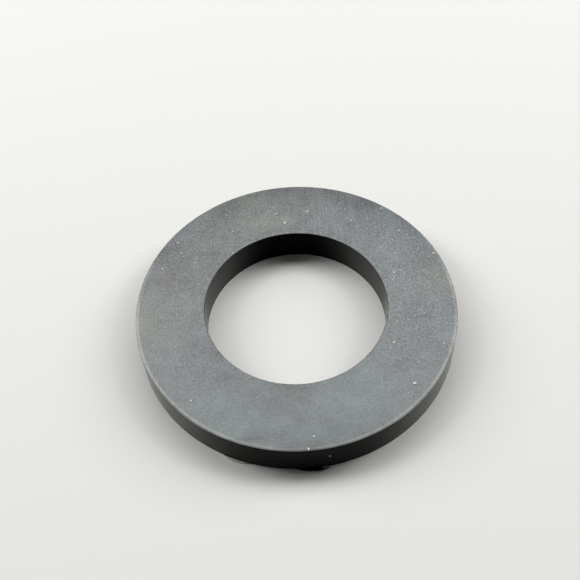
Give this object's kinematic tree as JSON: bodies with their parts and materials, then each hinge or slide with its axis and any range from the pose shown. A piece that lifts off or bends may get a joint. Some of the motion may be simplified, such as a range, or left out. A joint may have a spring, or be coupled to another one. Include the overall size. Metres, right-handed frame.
{
  "type": "rubber seal",
  "caption": "Flat moulded rubber sealing ring with a plain through bore, rounded upper edges and torn bits of mould flash at its lower edge.",
  "frame": {"origin": "centre of the bore in the plane of the lower face, on which the seal rests", "axes": "+Z along the bore, out of the face with the rounded edges; -Y towards the side with the mould flash"},
  "size_m": [0.038, 0.0385, 0.0042],
  "materials": {
    "rubber": "black rubber with a dull grey bloom on its faces and darker, slightly smoother moulded walls"
  },
  "bodies": {
    "root": {"rubber_seal": "rubber"}
  },
  "joints": []
}
